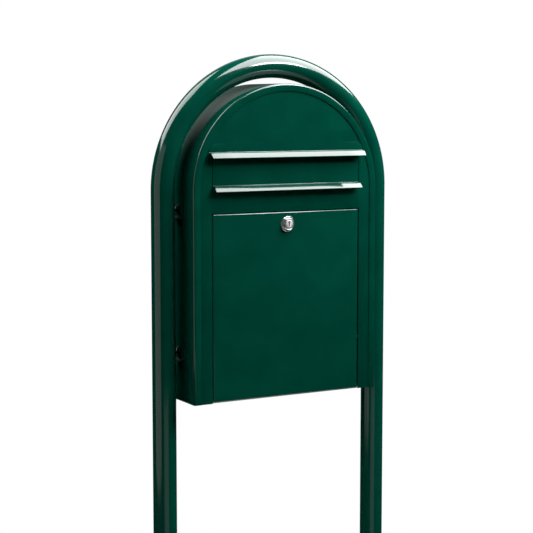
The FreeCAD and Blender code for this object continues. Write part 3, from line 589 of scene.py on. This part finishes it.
def lip_path(plate_y, tip_y, low_z, top_z):
    """Depth and height down a plate's front and out along the top of its lip, whose underside ends at low_z.
    The lip starts as a nearly level shelf, bends down and rolls over to its tip: with tilt t going from
    first to last, a point of the roll is start + r (sin first - sin t, cos t - cos first)."""
    tip = np.array([tip_y, low_z + LIP_THICKNESS])
    fold = np.array([plate_y, tip[1] + (plate_y - tip_y) * LIP_FALL / LIP_REACH])
    shelf = math.radians(SHELF_TILT)
    start = fold - LIP_SHELF * np.array([math.cos(shelf), math.sin(shelf)])
    first = math.radians(ROLL_FIRST_TILT)
    fall = start - tip
    last = 2 * math.atan2(fall[1], fall[0]) - first
    tilt = np.linspace(first, last, 12)[1:, None]
    radius = np.linalg.norm(fall) / (2 * math.sin((last - first) / 2))
    turned_by = np.concatenate([math.sin(first) - np.sin(tilt), np.cos(tilt) - math.cos(first)], 1)
    roll = start + radius * turned_by
    bends = rounded_path([(plate_y, top_z), fold, start, roll[1]], [FOLD_RADIUS, SHELF_RADIUS])
    return np.concatenate([bends[:-1], roll[1:]])


def carried_across(path, x):
    """A path of depth and height carried across the width, each row of it at the places x."""
    x = np.broadcast_to(x, (len(path), np.shape(x)[-1]))
    y = np.broadcast_to(path[:, :1], x.shape)
    z = np.broadcast_to(path[:, 1:], x.shape)
    return np.stack([x, y, z], -1)


def make_rain_hood():
    """The profile is carried across the width. Near the top the half width shrinks along a quarter circle,
    which rounds the plate's upper corners, and along the lip it shrinks evenly by the lip's inset."""
    plate_y = HOOD_HIGH.y - SHEET
    corner_low = HOOD_HIGH.z - HOOD_CORNER
    turn = np.linspace(math.pi / 2, 0.0, 16)
    corner_z = corner_low + HOOD_CORNER * np.sin(turn)
    corner_rows = np.stack([np.full_like(corner_z, plate_y), corner_z], -1)
    path = np.concatenate([corner_rows, lip_path(plate_y, HOOD_LOW.y, HOOD_LOW.z, HOOD_HIGH.z)[1:]])
    over = np.clip(path[:, 1] - corner_low, 0, HOOD_CORNER)
    half = HOOD_HIGH.x - HOOD_CORNER + np.sqrt(HOOD_CORNER**2 - over**2)
    half = half - LIP_INSET * (plate_y - path[:, 0]) / (plate_y - HOOD_LOW.y)
    points = carried_across(path, half[:, None] * np.linspace(-1, 1, 9))
    inside = (0.0, BACK, HOOD_LOW.z)
    piece = sheet_metal("drip_hood", points, grid_quads(points), inside, SHEET, FACE_EDGE)
    fit_piece(piece, POWDER_COAT, "root", "box_green", "rain_hood")


make_rain_hood()

# --------------------------------------------------------------------------------------------------
# Strike strip and buffers. A stepped zinc-plated strip behind the face stops the door and holds the lock's
# cam; two rubber discs stuck to it take the knock of the closing door.

STRIKE_LOW, STRIKE_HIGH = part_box("strike_plate")
STRIKE_FLANGE = 0.012
STRIKE_UPPER_BEND = 0.0008
STRIKE_LOWER_BEND = 0.0018
BUFFER_LOW, BUFFER_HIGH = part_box("door_buffers")
BUFFER_ROUNDING = 0.0012


def epdm_rubber():
    """Moulded EPDM rubber: near black, matt, with a fine grain left by the mould."""
    material, tree, shader = new_material("moulded EPDM rubber")
    colour = noise_between(tree, millimetres=1.5, low=linear("#17181A"), high=linear("#222325"))
    tree.links.new(colour, shader.inputs["Base Color"])
    shader.inputs["Roughness"].default_value = 0.65
    return material


def make_strike_strip():
    """A stepped path in depth and height, carried straight across the width."""
    flange_y = STRIKE_LOW.y + SHEET
    step_z = STRIKE_HIGH.z - STRIKE_FLANGE + SHEET
    corners = [(flange_y, STRIKE_HIGH.z), (flange_y, step_z)]
    corners += [(STRIKE_HIGH.y, step_z), (STRIKE_HIGH.y, STRIKE_LOW.z)]
    path = rounded_path(corners, [STRIKE_UPPER_BEND, STRIKE_LOWER_BEND])
    points = carried_across(path, [STRIKE_LOW.x, 0.0, STRIKE_HIGH.x])
    inside = (0.0, STRIKE_LOW.y, BASE)
    piece = sheet_metal("strike_strip", points, grid_quads(points), inside, SHEET)
    fit_piece(piece, ZINC, "root", "zinc", "strike_plate")


def buffer_disc(sign):
    """Disc with a rounded rim, radius r - e + e cos t at height e - e sin t, whose face falls very slightly
    from the middle to the rim."""
    radius = (BUFFER_HIGH.z - BUFFER_LOW.z) / 2
    thick = BUFFER_HIGH.y - BUFFER_LOW.y
    turn = np.linspace(math.pi / 2, 0.0, 9)
    rim_reach = radius - BUFFER_ROUNDING + BUFFER_ROUNDING * np.cos(turn)
    rim_along = BUFFER_ROUNDING - BUFFER_ROUNDING * np.sin(turn)
    reach = np.concatenate([[0.0], rim_reach[1:], [radius, 0.0]])
    along = np.concatenate([rim_along, [thick, thick]])
    centre = (sign * (BUFFER_HIGH.x - radius), BUFFER_LOW.y, BUFFER_LOW.z + radius)
    return turned(reach, along, centre, (0, 1, 0))


make_strike_strip()
buffers = mesh_object("buffers", *joined([buffer_disc(-1), buffer_disc(1)]))
fit_piece(buffers, epdm_rubber(), "root", "rubber", "door_buffers")

# --------------------------------------------------------------------------------------------------
# Hinge brackets and rods. Small zinc-plated angles welded behind the face; each pair holds one drawn steel
# rod with chamfered ends, one for the flap above and one for the door below.

HINGE_EDGE = 0.0003
ROD_CHAMFER = 0.0005

for part in ("door", "flap"):
    for side in ("left", "right"):
        node = f"{part}_hinge_bracket_{side}"
        fit_piece(softened_copy(node, HINGE_EDGE), ZINC, "root", "zinc", node)
    low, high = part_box(f"{part}_hinge_rod")
    radius = (high.z - low.z) / 2
    profile = ring_profile(0.0, radius, high.x - low.x, ROD_CHAMFER)
    rod = turned(*profile, (low.x, low.y + radius, low.z + radius), (1, 0, 0))
    fit_piece(mesh_object(f"{part}_rod", *rod), ZINC, "root", "zinc", f"{part}_hinge_rod")

# --------------------------------------------------------------------------------------------------
# Letter flap. Sheet steel, its top edge rolled round the rod and its lower edge folded out into a finger
# lip like the hood's. It hangs in the slot with a millimetre to spare at each end.

JOINTS = {joint["name"]: joint for joint in frame["joints"]}
PLATE_TO_PIVOT = 0.001


def roll_path(pivot, radius, start, end):
    """Depth and height round a rolled hem: pivot + r (cos a, sin a), with a going from start to end."""
    turn = np.radians(np.linspace(start, end, 32))
    return np.stack([pivot[1] + radius * np.cos(turn), pivot[2] + radius * np.sin(turn)], -1)


def make_letter_flap():
    """Lip, plate and rolled top edge as one path in depth and height, carried straight across the width."""
    pivot = JOINTS["flap_hinge"]["pos_m"]
    radius = FLAP_HIGH.z - pivot[2]
    lip = lip_path(pivot[1] - radius, FLAP_LOW.y, FLAP_LOW.z, pivot[2] - PLATE_TO_PIVOT)
    path = np.concatenate([lip[::-1], roll_path(pivot, radius, start=180.0, end=-110.0)])
    points = carried_across(path, np.linspace(FLAP_LOW.x, FLAP_HIGH.x, 5))
    inside = (0.0, BACK, FLAP_LOW.z)
    piece = sheet_metal("slot_flap", points, grid_quads(points), inside, SHEET, FACE_EDGE)
    fit_piece(piece, POWDER_COAT, "flap", "box_green", "letter_flap")


make_letter_flap()

# --------------------------------------------------------------------------------------------------
# Door. A folded pan: flat front, sides and top turned back 10 mm over tight bends with welded and ground
# corners, and the bottom edge rolled round the hinge rod.

DOOR_BEND = 0.0022
RETURN_ROWS = 3
BEND_ROWS = 7


def make_door():
    """The pan is a grid in which a is the sideways bend angle and b the upward one. A point is its bend
    centre plus r times the unit vector of (sin a, -cos a cos b, sin b), moved back by its depth in the
    return. The corner where two returns would cross is left out. The rolled part is a second grid below the
    pan that shares its lowest row."""
    pivot = JOINTS["door_hinge"]["pos_m"]
    hem = pivot[2] - DOOR_LOW.z
    half = DOOR_HIGH.x
    flat = half - DOOR_BEND
    side_foot = pivot[2] + hem
    middle_z = (side_foot + DOOR_HIGH.z) / 2
    returned = np.linspace(DOOR_HIGH.y - DOOR_LOW.y - DOOR_BEND, 0.0, RETURN_ROWS + 1)[:-1]
    bend = np.linspace(math.pi / 2, 0.0, BEND_ROWS)
    edge_angle = np.concatenate([np.full(RETURN_ROWS, math.pi / 2), bend])
    edge_back = np.concatenate([returned, np.zeros(BEND_ROWS)])
    side = np.repeat([-1.0, 1.0], len(edge_angle))
    back_across = np.concatenate([edge_back, edge_back[::-1]])
    back_down = np.concatenate([edge_back, [0.0, 0.0]])[:, None]
    bend_z = np.full(len(edge_angle), DOOR_HIGH.z - DOOR_BEND)
    centre_z = np.concatenate([bend_z, [middle_z, side_foot]])[:, None]
    a = np.concatenate([edge_angle, edge_angle[::-1]])[None, :]
    b = np.concatenate([edge_angle, [0.0, 0.0]])[:, None]
    direction = np.stack(np.broadcast_arrays(side * np.sin(a), -np.cos(a) * np.cos(b), np.sin(b)), -1)
    direction = direction / np.linalg.norm(direction, axis=-1, keepdims=True)
    x = side * flat + DOOR_BEND * direction[..., 0]
    y = DOOR_LOW.y + DOOR_BEND + DOOR_BEND * direction[..., 1] + back_across + back_down
    z = centre_z + DOOR_BEND * direction[..., 2]
    pan = np.stack([x, y, z], -1)
    faces = grid_quads(pan)
    row, column = np.divmod(faces, len(side))
    in_top_return = row < RETURN_ROWS
    in_side_return = (column < RETURN_ROWS) | (column >= len(side) - RETURN_ROWS)
    crossed = in_side_return.any(axis=1) & in_top_return.any(axis=1)
    hem_path = roll_path(pivot, hem, start=180.0, end=470.0)
    skirt = np.concatenate([[(DOOR_LOW.y, side_foot)], hem_path])
    roll = carried_across(skirt, [-half, -flat, flat, half])
    points, quads = joined([(pan, faces[~crossed]), (roll, grid_quads(roll))])
    piece = sheet_metal("door_pan", points, quads, (0.0, BACK, middle_z), SHEET)
    fit_piece(piece, POWDER_COAT, "door", "box_green", "door")


make_door()

# --------------------------------------------------------------------------------------------------
# Cam lock. Die-cast zinc, polished and chromed: a dished trim ring and a dished head, both with half-round
# rims, and a turning plug with an upright keyway. Behind the door a hexagon nut clamps the threaded stem,
# and a screw holds the flat cam.

RING_LOW, RING_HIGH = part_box("lock_ring")
RING_BEAD = 0.0005
RING_DISH = 0.0004
STEM_LOW, STEM_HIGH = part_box("lock_housing")
STEM_RADIUS = 0.008
STEM_END = 0.0006
STEM_PLAIN = 0.004
HEAD_BEAD = 0.0007
HEAD_DISH = 0.0006
PLUG_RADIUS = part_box("lock_plug")[1].x
PLUG_PLAY = 0.00005
PLUG_EDGE = 0.0002
LOCK_NUT_EDGE = 0.0004
CAM_EDGE = 0.0003
CAM_SCREW_LOW, CAM_SCREW_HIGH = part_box("cam_screw")
CAM_SCREW_ROUNDING = 0.0014
LOCK_Z = (RING_LOW.z + RING_HIGH.z) / 2


def chrome(name, low_roughness, high_roughness):
    """Chrome plate over a die casting: a pale, faintly cool metal whose fine polishing marks blur what it
    reflects, more on the satin face of the plug than on the bright rims."""
    material, tree, shader = new_material(name)
    colour = noise_between(tree, millimetres=4.0, low=linear("#D4D8D8"), high=linear("#E2E5E4"))
    low = grey(low_roughness)
    high = grey(high_roughness)
    gloss = noise_between(tree, millimetres=1.2, low=low, high=high, detail=4.0)
    tree.links.new(colour, shader.inputs["Base Color"])
    tree.links.new(gloss, shader.inputs["Roughness"])
    shader.inputs["Metallic"].default_value = 1.0
    return material


CHROME = chrome("bright chrome on die-cast zinc", low_roughness=0.22, high_roughness=0.28)
SATIN_CHROME = chrome("satin chrome on die-cast zinc", low_roughness=0.36, high_roughness=0.44)


def lock_piece(name, radius, depth, material, body, slot, node):
    """Turn a closed profile about the lock's axis; depth is along +Y."""
    points, faces = turned(radius, depth, (0.0, 0.0, LOCK_Z), (0, 1, 0), columns=96)
    fit_piece(mesh_object(name, points, faces), material, body, slot, node)


def rim_profile(outer, front, bead, dip):
    """Radius and depth over a half-round rim of width 2 bead, from the dished face inside it out to its
    side: outer - bead - bead cos t and front + bead - bead sin t, with t from the foot of the dish to a
    half turn."""
    foot = math.asin(1 - dip / bead)
    turn = np.linspace(foot, math.pi, 14)
    return outer - bead - bead * np.cos(turn), front + bead - bead * np.sin(turn)


def make_lock_ring():
    """Dished ring with a half-round rim."""
    rim_radius, rim_depth = rim_profile(RING_HIGH.x, RING_LOW.y, RING_BEAD, RING_DISH)
    radius = np.concatenate([[STEM_RADIUS], rim_radius, [RING_HIGH.x, STEM_RADIUS]])
    depth = np.concatenate([[rim_depth[0]], rim_depth, [RING_HIGH.y, RING_HIGH.y]])
    lock_piece("lock_trim", radius, depth, CHROME, "door", "chrome", "lock_ring")


def make_lock_head():
    """Head with a half-round rim round its dished face, and a thread turned on its stem."""
    bore = PLUG_RADIUS + PLUG_PLAY
    head = STEM_HIGH.x
    seat = RING_LOW.y + RING_DISH
    rim_radius, rim_depth = rim_profile(head, STEM_LOW.y, HEAD_BEAD, HEAD_DISH)
    ridge_radius, ridges = thread_profile(STEM_RADIUS, seat + STEM_PLAIN, STEM_HIGH.y - STEM_END)
    radius = [[bore], rim_radius, [head, STEM_RADIUS], ridge_radius, [STEM_RADIUS - STEM_END, bore]]
    depth = [[rim_depth[0]], rim_depth, [seat, seat], ridges, [STEM_HIGH.y, STEM_HIGH.y]]
    radius = np.concatenate(radius)
    depth = np.concatenate(depth)
    lock_piece("lock_head", radius, depth, CHROME, "door", "chrome", "lock_housing")


def make_cam_screw():
    """Low pan head, whose rim is a quarter round in to a flat top."""
    turn = np.linspace(math.pi / 2, 0.0, 9)
    rim_radius = CAM_SCREW_HIGH.x - CAM_SCREW_ROUNDING + CAM_SCREW_ROUNDING * np.sin(turn)
    rim_depth = CAM_SCREW_HIGH.y - CAM_SCREW_ROUNDING + CAM_SCREW_ROUNDING * np.cos(turn)
    radius = np.concatenate([[0.0, CAM_SCREW_HIGH.x], rim_radius, [0.0]])
    depth = np.concatenate([[CAM_SCREW_LOW.y, CAM_SCREW_LOW.y], rim_depth, [CAM_SCREW_HIGH.y]])
    lock_piece("cam_bolt", radius, depth, ZINC, "lock_core", "zinc", "cam_screw")


make_lock_ring()
make_lock_head()
make_cam_screw()
fit_piece(softened_copy("lock_plug", PLUG_EDGE), SATIN_CHROME, "lock_core", "chrome", "lock_plug")
fit_piece(softened_copy("lock_nut", LOCK_NUT_EDGE), ZINC, "door", "zinc", "lock_nut")
fit_piece(softened_copy("lock_cam", CAM_EDGE), ZINC, "lock_core", "zinc", "lock_cam")

# --------------------------------------------------------------------------------------------------
# Studio. A round white floor in a white surround. The key, a large soft box above the right side, whitens
# the lips and the bend, and a small one in front helps it. The others, at the left, behind and low in
# front, draw the long lines on the tube.

FLOOR_RADIUS = 0.7
GLOW_DIRECTION = (0.4, 0.9, 0.2)
GLOW_EDGE = 0.78
GLOW_CORE = 0.96
GLOW_LOWEST = -0.3
GLOW_HIGHEST = 0.9
GLOW_POWER = 3.0
GLOW_STRENGTH = 1.6
CAMERA_LENS = 101.3
CAMERA_X = -1.1053
CAMERA_BEFORE_FACE = 1.9113
CAMERA_OVER_BASE = 0.4363
CAMERA_YAW = 29.225
CAMERA_PITCH = 6.244


def make_floor():
    """A disc of FLOOR_RADIUS at the height zero, on which the stand's feet rest."""
    around = full_turn(128)
    radius = FLOOR_RADIUS * np.array([0.0, 0.5, 1.0])[:, None]
    x = radius * np.cos(around)
    points = np.stack([x, radius * np.sin(around), np.zeros_like(x)], -1)
    floor = mesh_object("floor", points, grid_quads(points, closed_columns=True))
    material, tree, shader = new_material("matt white studio floor")
    tint = noise_between(tree, millimetres=500.0, low=linear("#EDEDEB"), high=linear("#F2F2F0"))
    tree.links.new(tint, shader.inputs["Base Color"])
    shader.inputs["Roughness"].default_value = 0.9
    floor.data.materials.append(material)


def make_surround():
    """White where the camera sees past the object. What lights it is dark but for a soft glow towards the
    back and the right: strength = smooth ramp towards the glow's direction times a power of a height ramp."""
    world = bpy.data.worlds.new("studio surround")
    world.use_nodes = True
    tree = world.node_tree
    tree.nodes.clear()
    direction = add_node(tree, "ShaderNodeTexCoord").outputs["Generated"]
    inputs = {0: direction, 1: GLOW_DIRECTION}
    towards = add_node(tree, "ShaderNodeVectorMath", inputs, operation="DOT_PRODUCT")
    inputs = {"Value": towards.outputs["Value"], "From Min": GLOW_EDGE, "From Max": GLOW_CORE}
    side = add_node(tree, "ShaderNodeMapRange", inputs, interpolation_type="SMOOTHSTEP")
    split = add_node(tree, "ShaderNodeSeparateXYZ", {"Vector": direction})
    inputs = {"Value": split.outputs["Z"], "From Min": GLOW_LOWEST, "From Max": GLOW_HIGHEST}
    height = add_node(tree, "ShaderNodeMapRange", inputs)
    inputs = {0: height.outputs["Result"], 1: GLOW_POWER}
    rise = add_node(tree, "ShaderNodeMath", inputs, operation="POWER")
    inputs = {0: side.outputs["Result"], 1: rise.outputs["Value"]}
    glow = add_node(tree, "ShaderNodeMath", inputs, operation="MULTIPLY")
    inputs = {0: glow.outputs["Value"], 1: GLOW_STRENGTH}
    strength = add_node(tree, "ShaderNodeMath", inputs, operation="MULTIPLY").outputs["Value"]
    path = add_node(tree, "ShaderNodeLightPath")
    dim = add_node(tree, "ShaderNodeBackground", {"Color": grey(1.0), "Strength": strength})
    white = add_node(tree, "ShaderNodeBackground", {"Color": grey(1.0), "Strength": 1.0})
    inputs = {0: path.outputs["Is Camera Ray"], 1: dim.outputs["Background"], 2: white.outputs["Background"]}
    mix = add_node(tree, "ShaderNodeMixShader", inputs)
    add_node(tree, "ShaderNodeOutputWorld", {"Surface": mix.outputs["Shader"]})
    bpy.context.scene.world = world


def make_camera():
    """A long lens, a little lower than the box's crown and to its left, turned right and down towards it."""
    data = bpy.data.cameras.new("camera")
    data.sensor_width = 36.0
    data.lens = CAMERA_LENS
    camera = bpy.data.objects.new("camera", data)
    camera.location = (CAMERA_X, FRONT - CAMERA_BEFORE_FACE, BASE + CAMERA_OVER_BASE)
    tilt = math.pi / 2 - math.radians(CAMERA_PITCH)
    camera.rotation_euler = (tilt, 0.0, -math.radians(CAMERA_YAW))
    bpy.context.scene.collection.objects.link(camera)
    bpy.context.scene.camera = camera


def soft_box(name, place, target, size, watts):
    """A rectangular area light of that width and height, aimed at a point and unseen by the camera."""
    lamp = bpy.data.lights.new(name, "AREA")
    lamp.shape = "RECTANGLE"
    lamp.size, lamp.size_y = size
    lamp.energy = watts
    light = bpy.data.objects.new(name, lamp)
    light.location = place
    light.rotation_euler = (Vector(target) - Vector(place)).to_track_quat("-Z", "Y").to_euler()
    light.visible_camera = False
    bpy.context.scene.collection.objects.link(light)


make_floor()
make_surround()
make_camera()
soft_box("key", place=(0.7, -0.35, 2.15), target=(0.0, 0.0, 1.05), size=(1.8, 1.35), watts=100.0)
soft_box("front_top", place=(0.62, -0.95, 1.75), target=(0.0, -0.05, 1.0), size=(0.4, 0.25), watts=13.0)
soft_box("rear_left", place=(-0.75, 0.5, 1.98), target=(-0.12, 0.0, 1.05), size=(1.0, 1.2), watts=28.0)
soft_box("left", place=(-1.5, -0.1, 0.95), target=(-0.18, 0.0, 0.85), size=(1.6, 1.5), watts=6.0)
soft_box("low_front", place=(-0.35, -1.24, 0.22), target=(-0.05, -0.1, 0.3), size=(1.0, 0.44), watts=0.6)
bpy.context.scene.view_settings.view_transform = "Standard"
